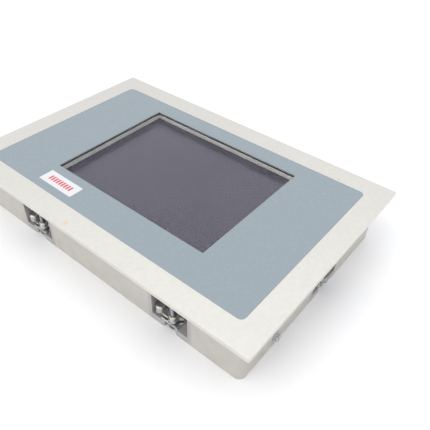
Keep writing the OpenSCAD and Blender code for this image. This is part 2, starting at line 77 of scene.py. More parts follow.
def aimed(place, target, roll=0.0):
    """The matrix of a camera or lamp at a place, facing a target, with a roll."""
    back = (place - target).normalized()
    side = Vector((0, 0, 1)).cross(back).normalized()
    up = back.cross(side)
    right = side * math.cos(roll) + up * math.sin(roll)
    upward = up * math.cos(roll) - side * math.sin(roll)
    axes = Matrix((right, upward, back)).transposed().to_4x4()
    return Matrix.Translation(place) @ axes


camera_data = bpy.data.cameras.new("camera")
camera_data.lens = LENS_MM
camera_data.sensor_width = 36
camera_data.clip_start = 0.01
camera = bpy.data.objects.new("camera", camera_data)
camera.matrix_world = aimed(CAMERA_AT, LOOK_AT, CAMERA_ROLL)
bpy.context.scene.collection.objects.link(camera)
bpy.context.scene.camera = camera
print("camera", round((CAMERA_AT - LOOK_AT).length / MM), "mm from the plate")

# %% [markdown]
# ## Light and floor
# Metal shows what surrounds it, so a studio for metal is mostly large pale
# surfaces. The world is a soft dome, a little darker at the horizon, which gives
# the plate its fall-off towards the far side. One broad warm lamp from the front
# left models the long wall and leaves the short wall in a cooler shade.

# %% World, lamp and floor
DOME_TOP = (1.30, 1.31, 1.34, 1)
DOME_EDGE = (0.60, 0.605, 0.63, 1)
DOME_FULL_AT = 0.9
LAMP_FROM = Vector((-0.45, -0.89, 1.25))
LAMP_STRENGTH = 0.6
LAMP_SPREAD = math.radians(50)
LAMP_TINT = (1, 0.975, 0.93)
FLOOR_SIZE = 6.0


def add(tree, kind, inputs=None, **settings):
    """Add a node: settings are its own options, inputs are numbers or sockets to link."""
    made = tree.nodes.new(kind)
    for option, value in settings.items():
        setattr(made, option, value)
    for socket, value in (inputs or {}).items():
        if isinstance(value, bpy.types.NodeSocket):
            tree.links.new(value, made.inputs[socket])
        else:
            made.inputs[socket].default_value = value
    return made


world = bpy.data.worlds.new("studio_dome")
world.use_nodes = True
sky = world.node_tree
sky.nodes.clear()
direction = add(sky, "ShaderNodeTexCoord")
height = add(sky, "ShaderNodeSeparateXYZ", {0: direction.outputs["Generated"]})
rise = add(sky, "ShaderNodeMapRange", {"Value": height.outputs["Z"], "From Max": DOME_FULL_AT})
rise.interpolation_type = "SMOOTHSTEP"
dome = add(sky, "ShaderNodeMix", {0: rise.outputs["Result"], 6: DOME_EDGE, 7: DOME_TOP},
           data_type="RGBA")
glow = add(sky, "ShaderNodeBackground", {"Color": dome.outputs[2]})
add(sky, "ShaderNodeOutputWorld", {"Surface": glow.outputs[0]})
bpy.context.scene.world = world
bpy.context.scene.view_settings.view_transform = "Standard"

lamp_data = bpy.data.lights.new("front_left_lamp", "SUN")
lamp_data.energy = LAMP_STRENGTH
lamp_data.angle = LAMP_SPREAD
lamp_data.color = LAMP_TINT
lamp = bpy.data.objects.new("front_left_lamp", lamp_data)
lamp.matrix_world = aimed(LAMP_FROM, Vector((0, 0, 0)))
bpy.context.scene.collection.objects.link(lamp)


def new_object(name, mesh):
    """An object for a mesh, linked into the scene and left at the origin."""
    made = bpy.data.objects.new(name, mesh)
    bpy.context.scene.collection.objects.link(made)
    return made


floor_mesh = bpy.data.meshes.new("floor")
half = FLOOR_SIZE / 2
floor_mesh.from_pydata([(-half, -half, 0), (half, -half, 0), (half, half, 0), (-half, half, 0)],
                       [], [(0, 1, 2, 3)])
floor = new_object("floor", floor_mesh)
print("floor", FLOOR_SIZE, "m square, lamp strength", LAMP_STRENGTH)

# %% [markdown]
# ## Effects that several finishes share
# Real surfaces differ from flat colour in the same few ways: a fine grain, slow
# changes of tone, rubbed edges, dust that settles on what faces up, and single
# marks. Each of these is one shader group with named inputs, built once and used
# with other values in every finish. A group gives out masks and heights only. The
# shader itself stays in each material, where it can be read on its own.

# %% A group for grain and tone
PATCHES_PER_METRE = 28.0
TONE_PER_GRAIN = 0.12


def effect_group(name, inputs, outputs):
    """An empty shader group with named sockets, and its input and output nodes."""
    tree = bpy.data.node_groups.new(name, "ShaderNodeTree")
    for label, (kind, value) in inputs.items():
        socket = tree.interface.new_socket(label, in_out="INPUT", socket_type=kind)
        socket.default_value = value
    for label in outputs:
        tree.interface.new_socket(label, in_out="OUTPUT", socket_type="NodeSocketFloat")
    return tree, tree.nodes.new("NodeGroupInput"), tree.nodes.new("NodeGroupOutput")


def number(value):
    return ("NodeSocketFloat", value)


def triple(value):
    return ("NodeSocketVector", value)


def calculate(tree, operation, first, second=0.0, clamp=False):
    """One maths node, given as its result."""
    made = add(tree, "ShaderNodeMath", {0: first, 1: second}, operation=operation, use_clamp=clamp)
    return made.outputs[0]


def span(tree, value, low, high, to_low=0.0, to_high=1.0):
    """A value taken smoothly from one range to another, given as its result."""
    made = add(tree, "ShaderNodeMapRange",
               {"Value": value, "From Min": low, "From Max": high,
                "To Min": to_low, "To Max": to_high}, interpolation_type="SMOOTHSTEP")
    return made.outputs["Result"]


grain_group, start, end = effect_group(
    "grain", {"Per Metre": number(2000), "Stretch": triple((1, 1, 1))}, ["Height", "Tone", "Patch"])
where = add(grain_group, "ShaderNodeTexCoord").outputs["Object"]
scaled = add(grain_group, "ShaderNodeVectorMath", {0: where, 1: start.outputs["Stretch"]},
             operation="MULTIPLY")
fine = add(grain_group, "ShaderNodeTexNoise",
           {"Vector": scaled.outputs[0], "Scale": start.outputs["Per Metre"], "Detail": 3.0})
slow_scale = calculate(grain_group, "MULTIPLY", start.outputs["Per Metre"], TONE_PER_GRAIN)
slow = add(grain_group, "ShaderNodeTexNoise",
           {"Vector": scaled.outputs[0], "Scale": slow_scale, "Detail": 2.0})
patch = add(grain_group, "ShaderNodeTexNoise",
            {"Vector": where, "Scale": PATCHES_PER_METRE, "Detail": 2.0})
grain_group.links.new(fine.outputs["Fac"], end.inputs["Height"])
grain_group.links.new(span(grain_group, slow.outputs["Fac"], 0.3, 0.7), end.inputs["Tone"])
grain_group.links.new(span(grain_group, patch.outputs["Fac"], 0.35, 0.7), end.inputs["Patch"])
print("grain group with", len(grain_group.nodes), "nodes")

# %% A group for rubbed edges
edge_group, start, end = effect_group(
    "rubbed_edges", {"Radius": number(0.4 * MM), "Amount": number(0.5)}, ["Mask"])
rounded = add(edge_group, "ShaderNodeBevel", {"Radius": start.outputs["Radius"]}, samples=4)
true_normal = add(edge_group, "ShaderNodeNewGeometry").outputs["True Normal"]
facing = add(edge_group, "ShaderNodeVectorMath", {0: rounded.outputs[0], 1: true_normal},
             operation="DOT_PRODUCT")
turned = calculate(edge_group, "SUBTRACT", 1.0, facing.outputs["Value"])
spots = add(edge_group, "ShaderNodeTexNoise", {"Scale": 420.0, "Detail": 3.0,
            "Vector": add(edge_group, "ShaderNodeTexCoord").outputs["Object"]})
broken = span(edge_group, spots.outputs["Fac"], 0.38, 0.62, 0.35, 1.0)
rub = calculate(edge_group, "MULTIPLY", span(edge_group, turned, 0.03, 0.22), broken)
edge_group.links.new(calculate(edge_group, "MULTIPLY", rub, start.outputs["Amount"], True),
                     end.inputs["Mask"])
print("edge group with", len(edge_group.nodes), "nodes")

# %% Groups for dust and for single marks
dust_group, start, end = effect_group("dust", {"Amount": number(0.1)}, ["Mask"])
upward = add(dust_group, "ShaderNodeSeparateXYZ",
             {0: add(dust_group, "ShaderNodeNewGeometry").outputs["Normal"]}).outputs["Z"]
specks = add(dust_group, "ShaderNodeTexNoise", {"Scale": 900.0, "Detail": 4.0,
             "Vector": add(dust_group, "ShaderNodeTexCoord").outputs["Object"]})
settled = calculate(dust_group, "MULTIPLY", span(dust_group, upward, 0.2, 0.9),
                    span(dust_group, specks.outputs["Fac"], 0.45, 0.75))
dust_group.links.new(calculate(dust_group, "MULTIPLY", settled, start.outputs["Amount"], True),
                     end.inputs["Mask"])

mark_group, start, end = effect_group(
    "single_mark", {"Centre": triple((0, 0, 0)), "Radius": number(1 * MM), "Amount": number(1.0)},
    ["Mask"])
where = add(mark_group, "ShaderNodeTexCoord").outputs["Object"]
away = add(mark_group, "ShaderNodeVectorMath", {0: where, 1: start.outputs["Centre"]},
           operation="DISTANCE")
share = calculate(mark_group, "DIVIDE", away.outputs["Value"], start.outputs["Radius"])
mark_group.links.new(calculate(mark_group, "MULTIPLY", span(mark_group, share, 0.3, 1.0, 1.0, 0.0),
                               start.outputs["Amount"], True), end.inputs["Mask"])
print("groups:", [g.name for g in bpy.data.node_groups])

# %% [markdown]
# ## One way to build a finish
# Most finishes here are the same stack with other numbers: a tint with slow tone
# changes, a second tint where edges are rubbed, dust on top, roughness that follows
# the tone, and a fine grain as bump. A class holds the stack, so that a special
# finish can put its own pattern between two of its layers.

# %% The stack of layers
FINISHES = {}
DUST_TINT = (0.62, 0.60, 0.56, 1)
DUST_ROUGH = 0.8
PATCH_SHARE = 0.35
ROUGH_LOW, ROUGH_HIGH = 0.86, 1.12


def darker(tint, share):
    return tuple(v * (1 - share) for v in tint[:3]) + (1,)


class Finish:
    """A material built up in layers. Its name is the record's slot, or a name of its own."""

    def __init__(self, name, tint, rough, metallic=0.0, per_metre=2500, stretch=(1, 1, 1),
                 tone=0.06):
        self.material = bpy.data.materials.new(name)
        self.material.use_nodes = True
        self.tree = self.material.node_tree
        self.shader = self.tree.nodes["Principled BSDF"]
        self.shader.inputs["Metallic"].default_value = metallic
        self.grain = self.effect(grain_group, {"Per Metre": per_metre, "Stretch": stretch})
        self.colour = self.mixed(self.grain.outputs["Tone"], tint, darker(tint, tone))
        self.colour = self.mixed(self.grain.outputs["Patch"], self.colour,
                                 darker(tint, tone), share=PATCH_SHARE)
        self.rough = span(self.tree, self.grain.outputs["Tone"], 0, 1,
                          rough * ROUGH_LOW, rough * ROUGH_HIGH)
        FINISHES[name] = self

    def effect(self, group, inputs):
        return add(self.tree, "ShaderNodeGroup", inputs, node_tree=group)

    def mixed(self, mask, first, second, share=1.0):
        if share < 1.0:
            mask = calculate(self.tree, "MULTIPLY", mask, share)
        made = add(self.tree, "ShaderNodeMix", {0: mask, 6: first, 7: second}, data_type="RGBA")
        return made.outputs[2]

    def layer(self, mask, tint, rough=None):
        """Paint a tint where the mask is, with its own roughness if it has one."""
        self.colour = self.mixed(mask, self.colour, tint)
        if rough is not None:
            made = add(self.tree, "ShaderNodeMix", {0: mask, 2: self.rough, 3: rough})
            self.rough = made.outputs[0]
        return self

    def rubbed(self, tint, radius=0.35 * MM, amount=0.5, rough=None):
        mask = self.effect(edge_group, {"Radius": radius, "Amount": amount}).outputs["Mask"]
        return self.layer(mask, tint, rough)

    def dusty(self, amount=0.08):
        mask = self.effect(dust_group, {"Amount": amount}).outputs["Mask"]
        return self.layer(mask, DUST_TINT, DUST_ROUGH)

    def marked(self, centre, radius, tint, amount=1.0):
        mask = self.effect(mark_group, {"Centre": centre, "Radius": radius, "Amount": amount})
        return self.layer(mask.outputs["Mask"], tint)

    def done(self, bump=0.1, depth=0.05 * MM, height=None, **settings):
        """Join the layers to the shader. Settings are constants for its own sockets."""
        relief = add(self.tree, "ShaderNodeBump",
                     {"Strength": bump, "Distance": depth,
                      "Height": height or self.grain.outputs["Height"]})
        links = self.tree.links
        links.new(self.colour, self.shader.inputs["Base Color"])
        links.new(self.rough, self.shader.inputs["Roughness"])
        links.new(relief.outputs[0], self.shader.inputs["Normal"])
        for socket, value in settings.items():
            self.shader.inputs[socket.replace("_", " ")].default_value = value
        return self.material


floor_finish = Finish("floor_paper", (0.93, 0.93, 0.93, 1), 0.9, per_metre=300, tone=0.01)
floor.data.materials.append(floor_finish.done(bump=0.02))
print("floor finish with", len(floor_finish.tree.nodes), "nodes")

# %% [markdown]
# ## The front: blasted plate, film, label and window
# The plate is aluminium, blasted with fine beads and clear anodised: a pale metal
# that scatters light widely but still brightens towards the lamp. The film on it is
# a satin grey-blue plastic. Handling leaves a small yellow stain near the lower
# edge, a dark speck near the upper one and a faint scuff on the film.

# %% Plate and film
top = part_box("front_plate")[1].z
STAIN = (-12.59 * MM, -70.9 * MM, top)
SPECK = (80.78 * MM, 63.24 * MM, top)
SCUFF = (80.74 * MM, 44.35 * MM, top)

plate = Finish("brushed_front", (0.72, 0.70, 0.65, 1), 0.36, metallic=0.85, per_metre=3200,
               tone=0.03)
plate.rubbed((0.84, 0.83, 0.80, 1), radius=0.5 * MM, amount=0.45, rough=0.35)
plate.marked(STAIN, 2.3 * MM, (0.70, 0.60, 0.36, 1), 0.6)
plate.marked(SPECK, 0.55 * MM, (0.2, 0.18, 0.16, 1), 0.8)
plate.dusty(0.05).done(bump=0.05, depth=0.02 * MM)

film = Finish("laminate", (0.275, 0.325, 0.355, 1), 0.48, per_metre=5200, tone=0.035)
film.rubbed((0.38, 0.42, 0.45, 1), radius=0.15 * MM, amount=0.5)
film.marked(SCUFF, 1.0 * MM, (0.38, 0.42, 0.44, 1), 0.5)
film.dusty(0.05).done(bump=0.06, depth=0.02 * MM, Specular_IOR_Level=0.42)

paper = Finish("label", (0.72, 0.72, 0.735, 1), 0.35, per_metre=1500, tone=0.03)
paper.rubbed((0.7, 0.7, 0.7, 1), radius=0.1 * MM, amount=0.4)
paper.dusty(0.03).done(bump=0.03)
ink = Finish("label_ink", (0.66, 0.10, 0.115, 1), 0.32, per_metre=2600, tone=0.12)
ink.rubbed((0.86, 0.4, 0.4, 1), radius=0.06 * MM, amount=0.5)
ink.done(bump=0.03)
print("front finishes:", sorted(FINISHES))

# %% [markdown]
# ## Glass, frame and display
# Behind the window lie three things with a gap between them: the touch glass just
# under the lip, a deep pale frame, and the display at the bottom of it. The glass
# is a real slab with transmission and a coating against glare, which a low index
# stands for. The display below has a satin face: it blurs the dome into one even
# sheen, and near the frame it takes on the frame's shade, which draws a soft darker
# band along two sides. A faint film varies only the glass's tint.

# %% Glass, display and the frame between them
glass = Finish("touch_glass", (0.96, 0.965, 0.975, 1), 0.0, per_metre=160, tone=0.01)
smear = span(glass.tree, glass.grain.outputs["Patch"], 0.3, 1.0)
glass.layer(smear, (0.93, 0.935, 0.95, 1))
glass.done(bump=0.0, Transmission_Weight=1.0, IOR=1.12)

window_low, window_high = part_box("display_bezel")
window_middle = (window_low + window_high) / 2
ACTIVE_W = 115.2 * MM
ACTIVE_D = 86.4 * MM


def rectangle_mask(finish, centre, width, depth, soft=0.15 * MM):
    """1 inside an upright rectangle seen from +Z, 0 outside it."""
    where = add(finish.tree, "ShaderNodeTexCoord").outputs["Object"]
    moved = add(finish.tree, "ShaderNodeVectorMath", {0: where, 1: centre}, operation="SUBTRACT")
    parts = add(finish.tree, "ShaderNodeSeparateXYZ", {0: moved.outputs[0]})
    inside = []
    for axis, size in (("X", width), ("Y", depth)):
        distance = calculate(finish.tree, "ABSOLUTE", parts.outputs[axis])
        inside.append(span(finish.tree, distance, size / 2 - soft, size / 2 + soft, 1.0, 0.0))
    return calculate(finish.tree, "MULTIPLY", *inside)


display = Finish("display", (0.050, 0.049, 0.066, 1), 0.3, per_metre=900, tone=0.2)
active = rectangle_mask(display, window_middle, ACTIVE_W, ACTIVE_D)
display.layer(active, (0.060, 0.056, 0.082, 1), 0.3)
display.done(bump=0.0, IOR=1.9, Specular_IOR_Level=0.40, Specular_Tint=(0.95, 0.93, 1.0, 1))

frame_paint = Finish("bezel", (0.93, 0.92, 0.86, 1), 0.45, per_metre=1800, stretch=(1, 1, 0.2),
                     tone=0.12)
frame_paint.rubbed((0.95, 0.94, 0.9, 1), radius=0.35 * MM, amount=0.6)
frame_paint.done(bump=0.25, depth=0.1 * MM)

tape = Finish("black_tape", (0.045, 0.045, 0.05, 1), 0.75, per_metre=1400, tone=0.2)
tape.rubbed((0.12, 0.12, 0.12, 1), radius=0.1 * MM, amount=0.3).done(bump=0.2)
print("window", [round(v / MM, 1) for v in window_high - window_low], "mm")

# %% [markdown]
# ## Housing, clamp pockets and clamps
# The housing is folded sheet with a warm grey powder coat, which dries with a
# fine orange-peel surface, so its grain is coarser than the plate's and its bump
# is stronger. The pockets are die castings in bare metal. The levers are nickelled
# zinc, the screws are blackened steel and the nuts brass with a thin tin plating.

# %% Finishes of the housing and clamps
coat = Finish("housing_metal", (0.535, 0.512, 0.468, 1), 0.46, per_metre=1300, tone=0.05)
coat.rubbed((0.66, 0.65, 0.62, 1), radius=0.5 * MM, amount=0.55, rough=0.35)
coat.dusty(0.1).done(bump=0.28, depth=0.08 * MM)

casting = Finish("pocket_metal", (0.53, 0.515, 0.50, 1), 0.45, metallic=0.5, per_metre=1900,
                 tone=0.12)
casting.rubbed((0.66, 0.65, 0.63, 1), radius=0.4 * MM, amount=0.6, rough=0.28)
casting.dusty(0.12).done(bump=0.3, depth=0.08 * MM)

nickel = Finish("clamp_zinc", (0.62, 0.615, 0.60, 1), 0.3, metallic=1.0, per_metre=2400,
                tone=0.1)
nickel.rubbed((0.85, 0.85, 0.84, 1), amount=0.6, rough=0.16).dusty(0.05)
nickel.done(bump=0.12, depth=0.05 * MM)

steel = Finish("clamp_steel", (0.22, 0.22, 0.235, 1), 0.34, metallic=1.0, per_metre=3000,
               stretch=(1, 1, 4), tone=0.12)
steel.rubbed((0.55, 0.56, 0.58, 1), radius=0.12 * MM, amount=0.6, rough=0.2)
steel.done(bump=0.12)

brass = Finish("clamp_brass", (0.80, 0.78, 0.70, 1), 0.22, metallic=1.0, per_metre=2600, tone=0.1)
brass.rubbed((0.93, 0.92, 0.87, 1), radius=0.2 * MM, amount=0.6, rough=0.15).done(bump=0.1)

foam = Finish("seal", (0.045, 0.045, 0.048, 1), 0.9, per_metre=2600, tone=0.3)
foam.dusty(0.06).done(bump=0.6, depth=0.12 * MM)
print("finishes so far:", len(FINISHES))

# %% [markdown]
# ## Metals inside and behind
# Plated screws, rolled sheet, milled aluminium and nickelled socket shells differ
# by the direction of their grain. Rolling and drawing stretch it one way, which
# is one vector in the grain group. A small table holds what differs.

# %% Plain metals
#           slot             tint                rough  grain   stretch        tone  edge tint
METALS = (
    ("zinc_steel", (0.66, 0.68, 0.71), 0.28, 3200, (1, 1, 1), 0.10, (0.85, 0.86, 0.88)),
    ("chassis_steel", (0.60, 0.61, 0.62), 0.38, 1500, (0.15, 1, 1), 0.10, (0.78, 0.79, 0.8)),
    ("backlight_case", (0.62, 0.62, 0.62), 0.34, 1700, (1, 0.15, 1), 0.10, (0.8, 0.8, 0.8)),
    ("raw_aluminium", (0.74, 0.74, 0.75), 0.33, 2200, (0.1, 1, 1), 0.08, (0.9, 0.9, 0.91)),
    ("cell_steel", (0.70, 0.70, 0.70), 0.25, 2600, (1, 1, 1), 0.08, (0.88, 0.88, 0.88)),
    ("contact_tin", (0.80, 0.80, 0.78), 0.22, 4000, (1, 1, 0.3), 0.08, (0.92, 0.92, 0.9)),
    ("socket_shell", (0.66, 0.665, 0.66), 0.27, 2300, (1, 1, 0.2), 0.12, (0.86, 0.86, 0.86)),
)
for name, tint, rough, grain, stretch, tone, edge in METALS:
    metal = Finish(name, tint + (1,), rough, 1.0, grain, stretch, tone)
    metal.rubbed(edge + (1,), radius=0.2 * MM, amount=0.5, rough=rough * 0.7)
    metal.dusty(0.05).done(bump=0.1)
gilt = Finish("contact_gilt", (0.86, 0.66, 0.30, 1), 0.22, 1.0, 4000, tone=0.08)
gilt.rubbed((0.95, 0.8, 0.5, 1), radius=0.08 * MM, amount=0.5).done(bump=0.06)
print(len(METALS) + 1, "plain metals")

# %% [markdown]
# ## Plastics, boards and labels
# Moulded plastic has a soft sheen and a slow unevenness. A circuit board adds
# tracks under its green varnish: two brick patterns at right angles give lines and
# pads at the scale of real ones. The flat cables are striped by their conductors,
# and the capacitors have a bare aluminium lid.

# %% Moulded plastics
#           slot             tint                 rough  grain  tone
PLASTICS = (
    ("chip", (0.045, 0.045, 0.05), 0.5, 3500, 0.2),
    ("black_plastic", (0.035, 0.035, 0.04), 0.42, 2400, 0.2),
    ("green_plastic", (0.07, 0.33, 0.15), 0.4, 2200, 0.1),
    ("blank_label", (0.70, 0.71, 0.72), 0.3, 1500, 0.05),
    ("socket_insert", (0.05, 0.05, 0.055), 0.45, 2600, 0.15),
)
LIGHTER_BY, LIGHTER_PLUS = 1.5, 0.05
for name, tint, rough, grain, tone in PLASTICS:
    plastic = Finish(name, tint + (1,), rough, 0.0, grain, tone=tone)
    lighter = tuple(min(1.0, v * LIGHTER_BY + LIGHTER_PLUS) for v in tint) + (1,)
    plastic.rubbed(lighter, radius=0.2 * MM, amount=0.4)
    plastic.dusty(0.06).done(bump=0.12)
print(len(PLASTICS), "plastics")

# %% Boards, cables and capacitors
board = Finish("circuit_board", (0.025, 0.16, 0.07, 1), 0.3, per_metre=1800, tone=0.15)
board_point = add(board.tree, "ShaderNodeTexCoord").outputs["Object"]
for turn, per_metre, shade in ((0, 260, 0.55), (math.pi / 2, 180, 0.4)):
    turned = add(board.tree, "ShaderNodeMapping", {"Vector": board_point, "Rotation": (0, 0, turn)})
    tracks = add(board.tree, "ShaderNodeTexBrick",
                 {"Vector": turned.outputs[0], "Scale": per_metre, "Mortar Size": 0.035})
    board.layer(calculate(board.tree, "MULTIPLY", tracks.outputs["Fac"], shade),
                (0.11, 0.36, 0.16, 1))
board.rubbed((0.45, 0.42, 0.22, 1), radius=0.2 * MM, amount=0.5).dusty(0.06).done(bump=0.05)

ribbon = Finish("flat_cable", (0.74, 0.71, 0.62, 1), 0.45, per_metre=1600, tone=0.05)
ribbon_point = add(ribbon.tree, "ShaderNodeTexCoord").outputs["Object"]
stripes = add(ribbon.tree, "ShaderNodeTexWave",
              {"Vector": ribbon_point, "Scale": 320.0, "Distortion": 0.0})
ribbon.layer(span(ribbon.tree, stripes.outputs["Fac"], 0.4, 0.6, 0, 0.6), (0.45, 0.43, 0.4, 1))
ribbon.rubbed((0.85, 0.83, 0.76, 1), radius=0.1 * MM, amount=0.4).done(bump=0.05)

can = Finish("capacitor", (0.035, 0.04, 0.10, 1), 0.3, per_metre=2400, tone=0.15)
lid = add(can.tree, "ShaderNodeNewGeometry").outputs["Normal"]
lid_down = add(can.tree, "ShaderNodeSeparateXYZ", {0: lid}).outputs["Z"]
can.layer(span(can.tree, lid_down, -0.9, -0.6, 1.0, 0.0), (0.72, 0.72, 0.73, 1), 0.3)
can.rubbed((0.5, 0.5, 0.55, 1), radius=0.3 * MM, amount=0.4).dusty(0.05).done(bump=0.08)

for node, obj in NODES.items():
    for material_slot in obj.material_slots:
        material_slot.material = FINISHES[SLOT_OF[node]].material
print("finishes on", len(NODES), "CAD nodes")

# %% [markdown]
# ## Softened edges
# No real edge is perfectly sharp: blasting, paint and casting all round it by a
# few tenths of a millimetre, and that thin curve is what catches the light. The CAD
# meshes are loose triangles with sharp edges, so each outer piece is copied,
# merged, its flat faces are divided anew, and it is bevelled. It stands for the node.

# %% A softened copy of a CAD node
MERGE_WITHIN = 0.002 * MM
FLAT_WITHIN = math.radians(0.4)
BEVEL_ABOVE = math.radians(32)


def plain_mesh(obj, name):
    """The evaluated result of an object's modifiers, as a mesh of its own."""
    view = bpy.context.evaluated_depsgraph_get()
    mesh = bpy.data.meshes.new_from_object(obj.evaluated_get(view))
    mesh.name = name
    return mesh


def stands_for(piece, node):
    """Let a finished piece ride with a node's body and be shown for it."""
    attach(piece, BODY_OF[node])
    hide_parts(node)
    return piece


def merged_copy(node):
    """A node's mesh with its doubles merged and its flat faces cleanly divided again.

    A face with a long outline, such as a rim round an opening, is cut into triangles.
    Bevelled in one piece it could fold over itself and close the opening.
    """
    mesh = NODES[node].data.copy()
    work = bmesh.new()
    work.from_mesh(mesh)
    bmesh.ops.remove_doubles(work, verts=work.verts, dist=MERGE_WITHIN)
    bmesh.ops.dissolve_limit(work, angle_limit=FLAT_WITHIN, verts=work.verts, edges=work.edges)
    outlines = [face for face in work.faces if len(face.verts) > 4]
    bmesh.ops.triangulate(work, faces=outlines, ngon_method="BEAUTY")
    work.to_mesh(mesh)
    work.free()
    return mesh


def rounded_edges(obj, width, segments):
    """Bevel an object's sharp edges and leave a plain mesh, smooth only along its bevels."""
    bevel = obj.modifiers.new("edges", "BEVEL")
    bevel.width = width
    bevel.segments = segments
    bevel.limit_method = "ANGLE"
    bevel.angle_limit = BEVEL_ABOVE
    bevel.miter_outer = "MITER_ARC"
    obj.data.shade_smooth()
    flat = obj.modifiers.new("flat_faces", "WEIGHTED_NORMAL")
    flat.weight = 100
    result = plain_mesh(obj, obj.name)
    obj.modifiers.clear()
    obj.data = result
    return obj


def softened(node, width, segments=2, reshape=None):
    """A bevelled copy of a node, after an optional change to its merged mesh."""
    mesh = merged_copy(node)
    if reshape:
        reshape(mesh)
    piece = rounded_edges(new_object(node + "_shown", mesh), width, segments)
    return stands_for(piece, node)


EDGE_WIDTHS = {
    "front_plate": 0.3, "front_laminate": 0.12, "touch_glass": 0.15, "display_bezel": 0.3,
    "display_cell": 0.2, "front_seal": 0.3, "housing": 0.45, "clamp_boxes": 0.3,
    "rear_cover": 0.25, "thrust_washers": 0.12, "earth_washer": 0.15, "earth_screw": 0.2,
    "cover_screws": 0.1, "power_socket": 0.2, "ethernet_sockets": 0.25, "usb_sockets": 0.12,
    "heat_block": 0.2, "rating_plate": 0.04, "stud_nuts": 0.2,
}
for node, width in EDGE_WIDTHS.items():
    piece = softened(node, width * MM)
    print(node, len(piece.data.polygons), "faces")

# %% [markdown]
# ## The clamps, one by one
# Each clamp is three pieces on three bodies: the screw that turns, the nut that
# climbs it, and the lever that swings on the nut. The CAD screw is a smooth rod of
# the outer diameter. Here its shank is drawn in to the root of the thread, and the
# thread is laid round it. A thread is one profile carried along a helix, which is
# just what a curve in Geometry Nodes does. The thread is left-handed, so that the nut
# climbs towards the plate when the screw is turned clockwise from the rear.

# %% A tree for a screw thread
CLAMPS = range(1, 7)
PITCH = 0.5 * MM
THREAD_CREST = 1.5 * MM
THREAD_ROOT = 1.24 * MM
COLLAR_TOP = 5.75 * MM
STEPS_PER_TURN = 22
RIDGE_SIDES = 4
FLANK_PER_PITCH = 0.42


def shape_tree(name, inputs):
    """An empty geometry tree with named inputs, its input node and their identifiers."""
    tree = bpy.data.node_groups.new(name, "GeometryNodeTree")
    tree.interface.new_socket("Geometry", in_out="OUTPUT", socket_type="NodeSocketGeometry")
    identifiers = {}
    for label, (kind, value) in inputs.items():
        socket = tree.interface.new_socket(label, in_out="INPUT", socket_type=kind)
        if value is not None:
            socket.default_value = value
        identifiers[label] = socket.identifier
    return tree, tree.nodes.new("NodeGroupInput"), identifiers


def end_tree(tree, start, geometry):
    """Close a tree: instances made real, then the finish that its input names."""
    real = add(tree, "GeometryNodeRealizeInstances", {0: geometry})
    finished = add(tree, "GeometryNodeSetMaterial",
                   {"Geometry": real.outputs[0], "Material": start.outputs["Finish"]})
    add(tree, "NodeGroupOutput", {0: finished.outputs[0]})


def grown(name, tree, identifiers, values, body, smooth=True):
    """Run a tree with its own values, and keep the result as a plain piece on a body."""
    obj = new_object(name, bpy.data.meshes.new(name))
    modifier = obj.modifiers.new("grow", "NODES")
    modifier.node_group = tree
    for label, value in values.items():
        modifier[identifiers[label]] = value
    result = plain_mesh(obj, name)
    obj.modifiers.clear()
    obj.data = result
    if smooth:
        result.shade_smooth()
        result.set_sharp_from_angle(angle=BEVEL_ABOVE)
    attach(obj, body)
    return obj


def finish_input():
    return ("NodeSocketMaterial", None)


thread_tree, start, thread_ids = shape_tree("screw_thread", {
    "Turns": number(40.0), "Pitch": number(PITCH), "Root": number(THREAD_ROOT),
    "Crest": number(THREAD_CREST), "Place": triple((0, 0, 0)), "Finish": finish_input()})
rise = calculate(thread_tree, "MULTIPLY", start.outputs["Turns"], start.outputs["Pitch"])
helix = add(thread_tree, "GeometryNodeCurveSpiral",
            {"Resolution": STEPS_PER_TURN, "Rotations": start.outputs["Turns"], "Height": rise,
             "Start Radius": start.outputs["Root"], "End Radius": start.outputs["Root"],
             "Reverse": False})
upright = add(thread_tree, "GeometryNodeSetCurveNormal", {"Curve": helix.outputs[0]}, mode="Z_UP")
depth = calculate(thread_tree, "SUBTRACT", start.outputs["Crest"], start.outputs["Root"])
flank = calculate(thread_tree, "MULTIPLY", start.outputs["Pitch"], FLANK_PER_PITCH)
ridge = add(thread_tree, "GeometryNodeCurvePrimitiveCircle",
            {"Resolution": RIDGE_SIDES, "Radius": depth})
slim = add(thread_tree, "ShaderNodeCombineXYZ",
           {0: 1.0, 1: calculate(thread_tree, "DIVIDE", flank, depth), 2: 1.0})
profile = add(thread_tree, "GeometryNodeTransform",
              {"Geometry": ridge.outputs[0], "Scale": slim.outputs[0]})
swept = add(thread_tree, "GeometryNodeCurveToMesh",
            {"Curve": upright.outputs[0], "Profile Curve": profile.outputs[0],
             "Fill Caps": True})
placed = add(thread_tree, "GeometryNodeTransform",
             {"Geometry": swept.outputs[0], "Translation": start.outputs["Place"]})
end_tree(thread_tree, start, placed.outputs[0])
print("thread tree with", len(thread_tree.nodes), "nodes")

# %% Screws, nuts and levers
THREAD_END_GAP = 0.35 * MM
SHANK_WITHIN = THREAD_CREST * 1.05
SHANK_DRAWN_TO = THREAD_ROOT * 1.04


def drawn_in(axis):
    """A change to a screw's mesh: its shank above the collar shrinks to the thread's root."""
    def change(mesh):
        for vertex in mesh.vertices:
            out = vertex.co.xy - axis.xy
            if vertex.co.z > COLLAR_TOP - MERGE_WITHIN and out.length < SHANK_WITHIN:
                vertex.co.xy = axis.xy + out.normalized() * SHANK_DRAWN_TO
    return change


